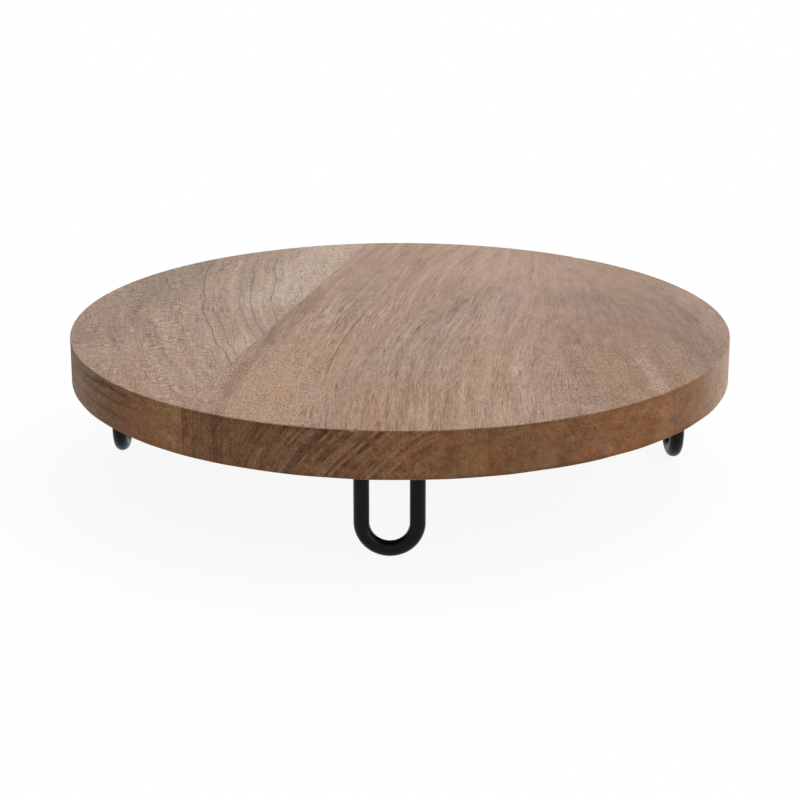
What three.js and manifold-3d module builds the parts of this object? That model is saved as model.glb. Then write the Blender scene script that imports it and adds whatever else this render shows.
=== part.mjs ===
// A round serving board: two edge-glued wooden staves, carried on four legs of bent round bar.
//
// Millimetres, +Z up. The origin lies on the floor under the centre of the board. The front leg
// stands on -Y, the right one on +X, the rear one on +Y and the left one on -X. Each leg is a bar bent
// to a U, welded to a plate that two screws hold to the underside of the board.

import * as THREE from 'three';
import { mergeVertices } from 'three/addons/utils/BufferGeometryUtils.js';
import Module from 'manifold-3d';

const wasm = await Module();
wasm.setup();

// Board
const BOARD_DIAMETER = 300;
const BOARD_THICKNESS = 21;
const EDGE_RADIUS = 1.2; // eased upper and lower edges of the rim
const GLUE_OFFSET = 55; // centre of the board to the glue line, on the left
const GLUE_LEAN_DEGREES = 13.1; // turn of the glue line from +Y towards +X
const GLUE_GAP = 0.3; // between the two glued faces

// Legs
const LEG_HEIGHT = 41; // floor to the underside of the board
const LEG_INSET = 22; // rim of the board to the middle of the bar
const BAR_DIAMETER = 6.5;
const BAR_SPACING = 23.2; // between the middles of a leg's two uprights
const FOOT_FLAT = 0.15; // depth of the flat under each bend
const WELD_LEG = 2; // height and reach of the fillet round each bar end
const PLATE_WIDTH = 20;
const PLATE_THICKNESS = 2;
const PLATE_CORNER = 4;
const PLATE_MARGIN = 2; // plate past the head of each screw

// Screws
const SCREW_DIAMETER = 3.5;
const SCREW_POINT = 4; // length of the tapered point
const SCREW_COVER = 7; // wood left over the point
const HEAD_DIAMETER = 7;
const HEAD_HEIGHT = 2.3;
const HEAD_ROUNDING = 1.2; // rounded edge of the pan head
const HEAD_CLEARANCE = 1; // between a weld and the head of the screw beside it
const RECESS_SPAN = 4.2; // tip to tip of the cross in the head
const RECESS_WIDTH = 1;
const RECESS_DEPTH = 1.3;
const HOLE_CLEARANCE = 0.3; // round each screw in its holes

// How finely round shapes are divided
const BOARD_SIDES = 128;
const EDGE_STEPS = 3;
const BAR_SIDES = 20;
const BEND_STEPS = 16;
const SCREW_SIDES = 24;
const CORNER_STEPS = 6;

// Sizes and places that follow from those
const BOARD_RADIUS = BOARD_DIAMETER / 2;
const BOARD_TOP = LEG_HEIGHT + BOARD_THICKNESS;
const GLUE_LEAN = THREE.MathUtils.degToRad(GLUE_LEAN_DEGREES);
const LEG_RADIUS = BOARD_RADIUS - LEG_INSET;
const BAR_RADIUS = BAR_DIAMETER / 2;
const BEND_RADIUS = BAR_SPACING / 2;
const BEND_HEIGHT = BEND_RADIUS + BAR_RADIUS - FOOT_FLAT;
const PLATE_BOTTOM = LEG_HEIGHT - PLATE_THICKNESS;
const SCREW_REACH = BEND_RADIUS + BAR_RADIUS + WELD_LEG + HEAD_CLEARANCE + HEAD_DIAMETER / 2;
const PLATE_LENGTH = 2 * (SCREW_REACH + HEAD_DIAMETER / 2 + PLATE_MARGIN);
const SCREW_LENGTH = PLATE_THICKNESS + BOARD_THICKNESS - SCREW_COVER;
const HOLE_RADIUS = SCREW_DIAMETER / 2 + HOLE_CLEARANCE;
const LEG_TURNS = { front: -Math.PI / 2, right: 0, rear: Math.PI / 2, left: Math.PI };
const SCREW_PLACES = { a: -SCREW_REACH, b: SCREW_REACH };

const wood = { color: 0xa07a5c, roughness: 0.62, metalness: 0 };
const blackCoat = { color: 0x17181a, roughness: 0.45, metalness: 0.1 };
const blackScrew = { color: 0x222325, roughness: 0.38, metalness: 0.7 };

// A solid from a closed geometry, with its shared corners merged and its flattened triangles left out.
function solidOf(geometry) {
  geometry.deleteAttribute('normal');
  geometry.deleteAttribute('uv');
  const merged = mergeVertices(geometry);
  const corners = merged.index.array;
  const triangles = [];
  for (let i = 0; i < corners.length; i += 3) {
    const [a, b, c] = corners.slice(i, i + 3);
    if (a !== b && b !== c && c !== a) triangles.push(a, b, c);
  }
  return new wasm.Manifold(new wasm.Mesh({
    numProp: 3,
    vertProperties: new Float32Array(merged.attributes.position.array),
    triVerts: new Uint32Array(triangles),
  }));
}

function namedMesh(name, solid, finish) {
  const { vertProperties, triVerts } = solid.getMesh();
  const geometry = new THREE.BufferGeometry();
  geometry.setAttribute('position', new THREE.BufferAttribute(vertProperties, 3));
  geometry.setIndex(new THREE.BufferAttribute(triVerts, 1));
  geometry.computeVertexNormals();
  const mesh = new THREE.Mesh(geometry, new THREE.MeshStandardMaterial(finish));
  mesh.name = name;
  return mesh;
}

// A profile of [radius, height] points that starts and ends on the Z axis, turned round that axis.
function turned(profile, sides) {
  const points = profile.map(([radius, height]) => new THREE.Vector2(radius, height));
  return new THREE.LatheGeometry(points, sides).rotateX(Math.PI / 2);
}

// Points of a quarter circle from one angle to another, as [radius, height] steps of a profile.
function quarter(centreRadius, centreHeight, rounding, fromAngle, steps) {
  return Array.from({ length: steps + 1 }, (_, step) => {
    const angle = fromAngle + (step / steps) * (Math.PI / 2);
    return [centreRadius + rounding * Math.cos(angle), centreHeight + rounding * Math.sin(angle)];
  });
}

// The whole round board before it is parted at the glue line.
function boardBlank() {
  const inner = BOARD_RADIUS - EDGE_RADIUS;
  return solidOf(turned([
    [0, LEG_HEIGHT],
    ...quarter(inner, LEG_HEIGHT + EDGE_RADIUS, EDGE_RADIUS, -Math.PI / 2, EDGE_STEPS),
    ...quarter(inner, BOARD_TOP - EDGE_RADIUS, EDGE_RADIUS, 0, EDGE_STEPS),
    [0, BOARD_TOP],
  ], BOARD_SIDES));
}

// A block that takes away all of the board on one side of the glue line: -1 is left, +1 is right.
function gluedSide(side) {
  const size = 2 * BOARD_DIAMETER;
  const face = -GLUE_OFFSET - side * (GLUE_GAP / 2);
  const block = new THREE.BoxGeometry(size, size, size);
  block.translate(face + side * (size / 2), 0, 0);
  return solidOf(block.rotateZ(-GLUE_LEAN));
}

// The blind hole for one screw, from below the board to past the screw's point.
function screwHole(turn, place) {
  const shoulder = PLATE_BOTTOM + SCREW_LENGTH - SCREW_POINT;
  const hole = turned([
    [0, PLATE_BOTTOM],
    [HOLE_RADIUS, PLATE_BOTTOM],
    [HOLE_RADIUS, shoulder],
    [HOLE_CLEARANCE, shoulder + SCREW_POINT + HOLE_CLEARANCE],
    [0, shoulder + SCREW_POINT + HOLE_CLEARANCE],
  ], SCREW_SIDES);
  return solidOf(hole.translate(LEG_RADIUS, place, 0).rotateZ(turn));
}

function stave(name, cutAway) {
  let body = boardBlank().subtract(gluedSide(cutAway));
  for (const turn of Object.values(LEG_TURNS)) {
    for (const place of Object.values(SCREW_PLACES)) {
      body = body.subtract(screwHole(turn, place));
    }
  }
  return namedMesh(name, body, wood);
}

// The middle line of a leg's bar: down one upright, round the bend and up the other.
class BarLine extends THREE.Curve {
  // One step along each upright and the rest round the bend, whatever their lengths.
  getUtoTmapping(share) {
    return share;
  }

  turnAt(share) {
    const step = THREE.MathUtils.clamp(share * BarLine.steps - 1, 0, BEND_STEPS);
    return (step / BEND_STEPS) * Math.PI;
  }

  getPoint(share, target = new THREE.Vector3()) {
    const step = share * BarLine.steps;
    const upright = Math.max(1 - step, 0) + Math.max(step - BEND_STEPS - 1, 0);
    const turn = this.turnAt(share);
    const height = BEND_HEIGHT - BEND_RADIUS * Math.sin(turn);
    return target.set(0, -BEND_RADIUS * Math.cos(turn), height + upright * (PLATE_BOTTOM - BEND_HEIGHT));
  }

  getTangent(share, target = new THREE.Vector3()) {
    const turn = this.turnAt(share);
    return target.set(0, Math.sin(turn), -Math.cos(turn));
  }
}
BarLine.steps = BEND_STEPS + 2;

// The bent bar with the fillet that welds each of its ends to the plate, cut flat where it stands.
function legBar() {
  const section = new THREE.Shape().absarc(0, 0, BAR_RADIUS, 0, 2 * Math.PI);
  let bar = solidOf(new THREE.ExtrudeGeometry(section, {
    extrudePath: new BarLine(),
    steps: BarLine.steps,
    curveSegments: BAR_SIDES / 2, // a full circle has two points for each
  }));
  for (const place of [-BEND_RADIUS, BEND_RADIUS]) {
    const fillet = turned([
      [0, PLATE_BOTTOM - WELD_LEG],
      [BAR_RADIUS, PLATE_BOTTOM - WELD_LEG],
      [BAR_RADIUS + WELD_LEG, PLATE_BOTTOM],
      [0, PLATE_BOTTOM],
    ], SCREW_SIDES);
    bar = bar.add(solidOf(fillet.translate(0, place, 0)));
  }
  const floor = new THREE.BoxGeometry(4 * BAR_DIAMETER, 2 * BAR_SPACING, BAR_DIAMETER);
  return bar.subtract(solidOf(floor.translate(0, 0, -BAR_DIAMETER / 2)));
}

function legPlate() {
  const x = PLATE_WIDTH / 2 - PLATE_CORNER;
  const y = PLATE_LENGTH / 2 - PLATE_CORNER;
  const outline = new THREE.Shape();
  outline.absarc(x, y, PLATE_CORNER, 0, Math.PI / 2);
  outline.absarc(-x, y, PLATE_CORNER, Math.PI / 2, Math.PI);
  outline.absarc(-x, -y, PLATE_CORNER, Math.PI, 1.5 * Math.PI);
  outline.absarc(x, -y, PLATE_CORNER, 1.5 * Math.PI, 2 * Math.PI);
  let plate = solidOf(new THREE.ExtrudeGeometry(outline, {
    depth: PLATE_THICKNESS,
    bevelEnabled: false,
    curveSegments: CORNER_STEPS,
  }));
  for (const place of Object.values(SCREW_PLACES)) {
    const hole = new THREE.CylinderGeometry(HOLE_RADIUS, HOLE_RADIUS, 3 * PLATE_THICKNESS, SCREW_SIDES);
    plate = plate.subtract(solidOf(hole.rotateX(Math.PI / 2).translate(0, place, 0)));
  }
  return plate;
}

// A pan-head screw that points up, with the underside of its head at height 0.
function screw() {
  const radius = SCREW_DIAMETER / 2;
  const crown = HEAD_DIAMETER / 2 - HEAD_ROUNDING;
  const body = solidOf(turned([
    [0, -HEAD_HEIGHT],
    ...quarter(crown, HEAD_ROUNDING - HEAD_HEIGHT, HEAD_ROUNDING, -Math.PI / 2, EDGE_STEPS),
    [HEAD_DIAMETER / 2, 0],
    [radius, 0],
    [radius, SCREW_LENGTH - SCREW_POINT],
    [0, SCREW_LENGTH],
  ], SCREW_SIDES));
  const along = new THREE.BoxGeometry(RECESS_SPAN, RECESS_WIDTH, 2 * RECESS_DEPTH);
  const across = new THREE.BoxGeometry(RECESS_WIDTH, RECESS_SPAN, 2 * RECESS_DEPTH);
  const recess = solidOf(along).add(solidOf(across));
  return body.subtract(recess.translate(0, 0, -HEAD_HEIGHT));
}

function leg(name, turn) {
  const parts = new THREE.Group();
  const bar = namedMesh(`${name}_leg_bar`, legBar(), blackCoat);
  const plate = namedMesh(`${name}_leg_plate`, legPlate(), blackCoat);
  plate.position.z = PLATE_BOTTOM;
  parts.add(bar, plate);
  for (const [letter, place] of Object.entries(SCREW_PLACES)) {
    const fastener = namedMesh(`${name}_leg_screw_${letter}`, screw(), blackScrew);
    fastener.position.set(0, place, PLATE_BOTTOM);
    parts.add(fastener);
  }
  parts.position.x = LEG_RADIUS;
  const turnedLeg = new THREE.Group();
  turnedLeg.rotation.z = turn;
  turnedLeg.add(parts);
  return turnedLeg;
}

const servingBoard = new THREE.Group();
servingBoard.add(stave('narrow_stave', 1), stave('wide_stave', -1));
for (const [name, turn] of Object.entries(LEG_TURNS)) {
  servingBoard.add(leg(name, turn));
}

export default servingBoard;
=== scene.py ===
# %% [markdown]
# # A round serving board on four bent-bar legs
# The board is two planks of sanded hardwood, glued edge to edge and turned to a disc. It stands on four
# legs of black-coated bar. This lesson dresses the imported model: every piece is rebuilt as a fine mesh at
# the size the frame gives, and every finish is made of shader nodes. All lengths are in metres.

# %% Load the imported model
import math

import bmesh
import bpy
from mathutils import Matrix, Vector, noise


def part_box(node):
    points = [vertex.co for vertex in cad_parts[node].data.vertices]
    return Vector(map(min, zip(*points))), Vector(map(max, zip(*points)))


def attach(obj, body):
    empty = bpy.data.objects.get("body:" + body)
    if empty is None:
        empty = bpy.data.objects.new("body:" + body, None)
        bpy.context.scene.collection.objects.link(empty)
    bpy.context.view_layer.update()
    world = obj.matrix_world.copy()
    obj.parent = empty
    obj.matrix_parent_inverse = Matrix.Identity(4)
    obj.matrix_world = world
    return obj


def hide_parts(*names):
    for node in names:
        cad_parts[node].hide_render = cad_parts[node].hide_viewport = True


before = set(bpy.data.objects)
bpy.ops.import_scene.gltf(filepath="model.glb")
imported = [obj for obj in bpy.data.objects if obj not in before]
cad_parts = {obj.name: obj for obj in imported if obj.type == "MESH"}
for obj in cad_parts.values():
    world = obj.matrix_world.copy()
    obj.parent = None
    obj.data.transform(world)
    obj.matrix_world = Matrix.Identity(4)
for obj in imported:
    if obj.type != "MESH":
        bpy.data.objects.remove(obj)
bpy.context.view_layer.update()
MM = 0.001

# %% [markdown]
# ## Sizes
# The frame knows where every node lies, so the large sizes are read from it. A few sizes that a box can't
# show, such as the thickness of the bar under its weld, are written here once.

# %% Read the board and the legs from the frame
board_low, board_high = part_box("wide_stave")
BOARD_RADIUS = board_high[0]
BOARD_BOTTOM = board_low[2]
BOARD_TOP = board_high[2]
plate_low, plate_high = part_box("right_leg_plate")
LEG_RADIUS = (plate_low[0] + plate_high[0]) / 2
PLATE_WIDTH = plate_high[0] - plate_low[0]
PLATE_LENGTH = plate_high[1] - plate_low[1]
PLATE_BOTTOM = plate_low[2]
PLATE_TOP = plate_high[2]
BAR_RADIUS = 3.3 * MM
BEND_RADIUS = 11.6 * MM
FOOT_FLAT = 0.15 * MM
GLUE_OFFSET = -55 * MM
GLUE_LEAN = math.radians(13.1)
LEG_TURNS = {"front": -math.pi / 2, "right": 0.0, "rear": math.pi / 2, "left": math.pi}
print("board radius", BOARD_RADIUS, "from", BOARD_BOTTOM, "to", BOARD_TOP, "legs at", LEG_RADIUS)

# %% [markdown]
# ## Camera
# The rim shows as an ellipse, and its size, flatness and place fix a camera about a metre away that looks
# down by 18 degrees. The board stands turned by two degrees to that camera.

# %% Place the camera
VIEW_TURN = math.radians(1.92)
VIEW_DROP = math.radians(18.33)
VIEW_REACH = 0.991
VIEW_RISE = 0.2915
FOCAL_PIXELS = 2250
IMAGE_PIXELS = 800


def add_object(name, data):
    thing = bpy.data.objects.new(name, data)
    bpy.context.collection.objects.link(thing)
    return thing


camera_data = bpy.data.cameras.new("photo_camera")
camera_data.lens = camera_data.sensor_width * FOCAL_PIXELS / IMAGE_PIXELS
camera = add_object("photo_camera", camera_data)
camera.location = (VIEW_REACH * math.sin(VIEW_TURN), -VIEW_REACH * math.cos(VIEW_TURN),
                   BOARD_TOP + VIEW_RISE)
camera.rotation_euler = (math.pi / 2 - VIEW_DROP, 0, VIEW_TURN)
bpy.context.scene.camera = camera
print("lens", round(camera_data.lens, 2), "mm at", [round(part, 4) for part in camera.location])

# %% [markdown]
# ## Writing nodes as short lines
# A shader is a small calculation. These helpers add one node each and hand back its output, so that the
# calculation of a finish reads from top to bottom like a recipe.

# %% Node helpers
NUMBER = "NodeSocketFloat"


def feed(tree, socket, value):
    """Links an output to a socket, or sets the socket to a plain value."""
    if isinstance(value, bpy.types.NodeSocket):
        tree.links.new(value, socket)
    else:
        socket.default_value = value


def add_node(tree, kind, inputs=None, **settings):
    """Adds a node, makes its settings, and feeds its inputs by name or number."""
    node = tree.nodes.new(kind)
    for name, value in settings.items():
        setattr(node, name, value)
    for name, value in (inputs or {}).items():
        feed(tree, node.inputs[name], value)
    return node


def calc(tree, operation, *values):
    return add_node(tree, "ShaderNodeMath", dict(enumerate(values)), operation=operation).outputs[0]


def total(tree, *values):
    result = values[0]
    for value in values[1:]:
        result = calc(tree, "ADD", result, value)
    return result


def times(tree, *values):
    result = values[0]
    for value in values[1:]:
        result = calc(tree, "MULTIPLY", result, value)
    return result


def fade(tree, value, start, end, low=0.0, high=1.0):
    """Goes smoothly from low to high while value goes from start to end."""
    inputs = dict(enumerate((value, start, end, low, high)))
    return add_node(tree, "ShaderNodeMapRange", inputs, interpolation_type="SMOOTHSTEP").outputs[0]


def ridge(tree, value, middle, half_width):
    """One on the middle of a line, fading to none at half_width to either side."""
    distance = calc(tree, "ABSOLUTE", calc(tree, "SUBTRACT", value, middle))
    return fade(tree, distance, 0.0, half_width, 1.0, 0.0)


def place(tree, x, y, z):
    return add_node(tree, "ShaderNodeCombineXYZ", {"X": x, "Y": y, "Z": z}).outputs[0]


def own_point(tree):
    """Where the shaded point lies in the object's own coordinates."""
    return tree.nodes.new("ShaderNodeTexCoord").outputs["Object"]


def cloud(tree, vector, scale, detail=2.0, roughness=0.5):
    inputs = {"Vector": vector, "Scale": scale, "Detail": detail, "Roughness": roughness}
    return add_node(tree, "ShaderNodeTexNoise", inputs).outputs[0]


def drawn_noise(tree, parts, scales, detail=2.0, roughness=0.5):
    """Noise at a place with each part multiplied by its scale: the larger, the finer it is that way."""
    at = place(tree, *(times(tree, part, scale) for part, scale in zip(parts, scales)))
    return cloud(tree, at, 1.0, detail, roughness)


def wander(tree, value, pattern, reach):
    """Moves a value to and fro with a pattern of noise, by up to half of reach either way."""
    return calc(tree, "MULTIPLY_ADD", pattern, reach, calc(tree, "SUBTRACT", value, reach / 2))


def tint(tree, factor, first, second, mode="MIX"):
    inputs = {0: factor, 6: first, 7: second}
    return add_node(tree, "ShaderNodeMix", inputs, data_type="RGBA", blend_type=mode).outputs[2]


def overlay(tree, colour, tone, *strengths):
    """Lays a tone over a colour, as strongly as all the strengths multiplied."""
    return tint(tree, times(tree, *strengths), colour, tone)


def shade(tree, colour, strength):
    """Makes a colour lighter or darker by a factor."""
    inputs = {0: colour, "Scale": strength}
    return add_node(tree, "ShaderNodeVectorMath", inputs, operation="SCALE").outputs[0]


def chart(red, green, blue):
    """A colour as a chart gives it, from 0 to 255, as the linear light that shaders add up."""
    def linear(part):
        part = part / 255
        return part / 12.92 if part <= 0.04045 else ((part + 0.055) / 1.055) ** 2.4
    return (linear(red), linear(green), linear(blue), 1.0)


def new_group(name, inputs, outputs):
    """A node group with named number inputs and named outputs of the given kinds."""
    tree = bpy.data.node_groups.new(name, "ShaderNodeTree")
    for label, value in inputs.items():
        socket = tree.interface.new_socket(name=label, in_out="INPUT", socket_type=NUMBER)
        socket.default_value = value
    for label, kind in outputs.items():
        tree.interface.new_socket(name=label, in_out="OUTPUT", socket_type=kind)
    entry = tree.nodes.new("NodeGroupInput").outputs
    leave = tree.nodes.new("NodeGroupOutput").inputs
    return tree, entry, leave


def use_group(tree, group, inputs=None):
    return add_node(tree, "ShaderNodeGroup", inputs, node_tree=group).outputs


def new_finish(name, **shader_numbers):
    """A material with its Principled shader, whose plain numbers are set on its own sockets."""
    material = bpy.data.materials.new(name)
    material.use_nodes = True
    shader = material.node_tree.nodes["Principled BSDF"]
    for label, value in shader_numbers.items():
        shader.inputs[label.replace("_", " ")].default_value = value
    return material, material.node_tree, shader


print("node helpers ready")

# %% [markdown]
# ## Light and floor
# A table-top studio: soft even light all round, a broad soft lamp high behind on the right, which leaves
# the front of the rim in half shade, and a weaker one low on the right, which lights the right end of the
# rim. The floor looks white to the camera because part of what the camera sees of it is a plain white
# glow. The rest is lit, so it still takes the shadow.

# %% World, lamps and floor
SKY_FILL = 0.4
# Name, strength, and in degrees: height, turn and spread
LAMPS = [("back_lamp", 2.2, 50, -25, 70), ("right_lamp", 1.1, 22, -105, 50)]
FLOOR_SIZE = 12.0
FLOOR_GLOW = 0.92
FLOOR_WHITE = (0.9, 0.9, 0.9, 1.0)
WHITE = (1.0, 1.0, 1.0, 1.0)


def seen_directly(tree):
    """One for rays that come straight from the camera or off a shiny or clear surface."""
    rays = tree.nodes.new("ShaderNodeLightPath").outputs
    either = calc(tree, "MAXIMUM", rays["Is Camera Ray"], rays["Is Glossy Ray"])
    return calc(tree, "MAXIMUM", either, rays["Is Transmission Ray"])


bpy.context.scene.view_settings.view_transform = "Standard"
world = bpy.data.worlds.new("white_studio")
bpy.context.scene.world = world
world.use_nodes = True
world_tree = world.node_tree
sky = world_tree.nodes["Background"]
sky.inputs["Color"].default_value = WHITE
feed(world_tree, sky.inputs["Strength"], fade(world_tree, seen_directly(world_tree), 0, 1, SKY_FILL, 1.0))

for name, strength, elevation, turn, spread in LAMPS:
    lamp_data = bpy.data.lights.new(name, "SUN")
    lamp_data.energy = strength
    lamp_data.angle = math.radians(spread)
    lamp = add_object(name, lamp_data)
    lamp.rotation_euler = (math.radians(elevation - 90), 0, math.radians(turn))

floor_mesh = bpy.data.meshes.new("floor")
half_floor = FLOOR_SIZE / 2
floor_corners = [(-half_floor, -half_floor, 0), (half_floor, -half_floor, 0),
                 (half_floor, half_floor, 0), (-half_floor, half_floor, 0)]
floor_mesh.from_pydata(floor_corners, [], [(0, 1, 2, 3)])
floor = add_object("floor", floor_mesh)

floor_paint = bpy.data.materials.new("white_floor")
floor_paint.use_nodes = True
floor_tree = floor_paint.node_tree
floor_tree.nodes.remove(floor_tree.nodes["Principled BSDF"])
matt = add_node(floor_tree, "ShaderNodeBsdfDiffuse", {"Color": FLOOR_WHITE})
glow = add_node(floor_tree, "ShaderNodeEmission", {"Color": WHITE, "Strength": 1.0})
glow_share = times(floor_tree, seen_directly(floor_tree), FLOOR_GLOW)
both = add_node(floor_tree, "ShaderNodeMixShader", {0: glow_share, 1: matt.outputs[0], 2: glow.outputs[0]})
floor_tree.links.new(both.outputs[0], floor_tree.nodes["Material Output"].inputs["Surface"])
floor_mesh.materials.append(floor_paint)
print("floor and lamps placed", len(LAMPS))

# %% [markdown]
# ## Where a point lies in the board
# Wood figure runs through the solid plank, so its colour depends on where a point lies, not on a picture
# wrapped round it. This group turns a point of the board into millimetres: to the right, to the back and
# up from the top face, as seen by the camera.

# %% The board's plan as a node group
plan_group, _, plan_out = new_group("Board plan", {}, {"Right": NUMBER, "Back": NUMBER, "Rise": NUMBER})
plan_map = add_node(plan_group, "ShaderNodeMapping", {"Vector": own_point(plan_group)})
plan_map.inputs["Scale"].default_value = (1 / MM, 1 / MM, 1 / MM)
plan_map.inputs["Rotation"].default_value = (0, 0, -VIEW_TURN)
plan_map.inputs["Location"].default_value = (0, 0, -BOARD_TOP / MM)
plan_parts = add_node(plan_group, "ShaderNodeSeparateXYZ", {"Vector": plan_map.outputs[0]}).outputs
for label, part in zip(("Right", "Back", "Rise"), plan_parts):
    plan_group.links.new(part, plan_out[label])
print("plan group ready")

# %% [markdown]
# ## Growth bands, grain and pores
# Both planks share these effects. Growth bands are soft stripes of tone across the grain, with thin lines
# between them. The grain itself is a bundle of long fibres and short strokes, with specks and small dark
# dashes between them. Pores are thin dark lines that follow the grain and gather in clusters. Each is a
# pattern that is squeezed across the grain and drawn out along it. A streak is a stripe of darker or paler
# wood with a place of its own, which runs with the grain and fades at its ends.

# %% Growth bands as a node group
bands_group, bands_in, bands_out = new_group(
    "Growth bands", {"Across": 0, "Along": 0, "Width": 8, "Length": 200},
    {"Tone": NUMBER, "Lines": NUMBER})
bands_at = place(bands_group,
                 calc(bands_group, "DIVIDE", bands_in["Across"], bands_in["Width"]),
                 calc(bands_group, "DIVIDE", bands_in["Along"], bands_in["Length"]),
                 0)
bands_noise = cloud(bands_group, bands_at, 1, 3, 0.55)
bands_group.links.new(fade(bands_group, bands_noise, 0.3, 0.7), bands_out["Tone"])
bands_group.links.new(ridge(bands_group, bands_noise, 0.5, 0.04), bands_out["Lines"])


def grow_bands(tree, across, along, width, length):
    """Growth bands of the given width and length in millimetres."""
    return use_group(tree, bands_group, {"Across": across, "Along": along, "Width": width, "Length": length})


print("growth bands ready")

# %% Grain and pores as a node group
# Kind, width, length, detail and roughness of the noise, and its darkest level
SOFT_GRAIN = [("Fibres", 2, 45, 3, 0.7, 0.3), ("Strokes", 1, 8, 1, 0.5, 0.32),
              ("Specks", 0.5, 2.4, 2, 0.6, 0.28)]
DASH_WIDTH = 0.9
DASH_LENGTH = 4.4
PORE_WIDTH = 0.45
PORE_LENGTH = 17
CLUSTER_WIDTH = 6
CLUSTER_LENGTH = 55

grain_group, grain_in, grain_out = new_group(
    "Grain", {"Across": 0, "Along": 0, "Deep": 0, "Pore Share": 0.45},
    {"Fibres": NUMBER, "Strokes": NUMBER, "Specks": NUMBER, "Dashes": NUMBER, "Pores": NUMBER})


def stretched(width, length):
    """Places of the grain for noise of the given width and length in millimetres."""
    return place(grain_group, times(grain_group, grain_in["Across"], 1 / width),
                 times(grain_group, grain_in["Along"], 1 / length),
                 times(grain_group, grain_in["Deep"], 1 / width))


for kind, width, length, detail, roughness, low in SOFT_GRAIN:
    soft = cloud(grain_group, stretched(width, length), 1, detail, roughness)
    grain_group.links.new(fade(grain_group, soft, low, 1 - low, -1, 1), grain_out[kind])
dash_cells = add_node(grain_group, "ShaderNodeTexVoronoi",
                      {"Vector": stretched(DASH_WIDTH, DASH_LENGTH), "Scale": 1})
grain_group.links.new(fade(grain_group, dash_cells.outputs["Distance"], 0.2, 0.45, 1, 0),
                      grain_out["Dashes"])
pore_noise = cloud(grain_group, stretched(PORE_WIDTH, PORE_LENGTH), 1, 1, 0.5)
pore_edge = calc(grain_group, "SUBTRACT", 1, grain_in["Pore Share"])
pore_full = calc(grain_group, "ADD", pore_edge, 0.08)
cluster_noise = cloud(grain_group, stretched(CLUSTER_WIDTH, CLUSTER_LENGTH), 1)
clusters = fade(grain_group, cluster_noise, 0.4, 0.6, 0.1, 1)
grain_group.links.new(times(grain_group, fade(grain_group, pore_noise, pore_edge, pore_full), clusters),
                      grain_out["Pores"])


def add_grain(tree, ground, grain, fibres, strokes, specks, dashes, pores, dark):
    """Lays the grain over the ground colour, each of its kinds with the given strength."""
    light = calc(tree, "MULTIPLY_ADD", grain["Fibres"], fibres, 1.05)
    light = calc(tree, "MULTIPLY_ADD", grain["Strokes"], strokes, light)
    light = calc(tree, "MULTIPLY_ADD", grain["Specks"], specks, light)
    dashed = overlay(tree, shade(tree, ground, light), dark, grain["Dashes"], dashes)
    return overlay(tree, dashed, dark, grain["Pores"], pores)


print("grain ready")

# %% A streak of tone as a node group
streak_group, streak_in, streak_out = new_group(
    "Streak", {"Right": 0, "Back": 0, "Middle": 0, "Lean": 0, "Bow": 0, "Half Width": 10,
               "Front End": -150, "Rear End": 150, "Soft": 14}, {"Mask": NUMBER})
streak_bow = calc(streak_group, "MULTIPLY_ADD", streak_in["Back"], streak_in["Bow"], streak_in["Lean"])
streak_middle = calc(streak_group, "MULTIPLY_ADD", streak_in["Back"], streak_bow, streak_in["Middle"])
streak_side = calc(streak_group, "SUBTRACT", streak_in["Right"], streak_middle)
streak_off = calc(streak_group, "ABSOLUTE", streak_side)
streak_body = fade(streak_group, streak_off, times(streak_group, streak_in["Half Width"], 0.25),
                   streak_in["Half Width"], 1, 0)


def streak_end(label, before, beyond):
    """Goes softly from before to beyond at one end of the streak."""
    start = calc(streak_group, "SUBTRACT", streak_in[label], streak_in["Soft"])
    stop = calc(streak_group, "ADD", streak_in[label], streak_in["Soft"])
    return fade(streak_group, streak_in["Back"], start, stop, before, beyond)


streak_ends = times(streak_group, streak_end("Front End", 0, 1), streak_end("Rear End", 1, 0))
streak_group.links.new(times(streak_group, streak_body, streak_ends), streak_out["Mask"])


def lay_streaks(tree, colour, right, back, streaks):
    """Lays each streak (tone, strength, middle, lean, bow, half width, front, rear) over the colour."""
    labels = ("Middle", "Lean", "Bow", "Half Width", "Front End", "Rear End")
    for tone, strength, *numbers in streaks:
        inputs = dict(zip(labels, numbers), Right=right, Back=back)
        mask = use_group(tree, streak_group, inputs)["Mask"]
        colour = overlay(tree, colour, tone, mask, strength)
    return colour


print("streaks ready")

# %% [markdown]
# ## The rim
# Oil sinks into the cut ends of the fibres, so the rim is darker and warmer than the top. The group says
# where a surface faces sideways, and darkens the rim unevenly in blotches. It also paints shade along the
# lower edge, where the rim is darkest, and darkens a thin band just under the upper edge.

# %% The rim as a node group
rim_group, rim_in, rim_out = new_group("Rim", {"Right": 0, "Rise": 0}, {"Side": NUMBER, "Blotches And Edge Shade": NUMBER})
facing = add_node(rim_group, "ShaderNodeSeparateXYZ",
                  {"Vector": rim_group.nodes.new("ShaderNodeNewGeometry").outputs["Normal"]}).outputs
upright = calc(rim_group, "ABSOLUTE", facing["Z"])
rim_group.links.new(fade(rim_group, upright, 0.25, 0.85, 1, 0), rim_out["Side"])
patches = drawn_noise(rim_group, (rim_in["Right"], 0, rim_in["Rise"]), (0.11, 1, 0.16), 3, 0.6)
blotched = fade(rim_group, patches, 0.3, 0.7, 0.84, 1.16)
# Painted shade along the lower edge of the rim, which faces down, and a darker band just under the upper
# edge
lower_edge_shade = fade(rim_group, rim_in["Rise"], -20.6, -18.4, 0.7, 1)
upper_edge = fade(rim_group, rim_in["Rise"], -3, -0.8, 1, 0.86)
rim_group.links.new(times(rim_group, blotched, lower_edge_shade, upper_edge), rim_out["Blotches And Edge Shade"])
print("rim group ready")

# %% Top, rim and pores joined to one surface
WOOD_ROUGHNESS = 0.6
PORE_ROUGHNESS = 0.75
PORE_STRENGTH = 0.25
PORE_DEPTH = 0.05 * MM


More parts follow.
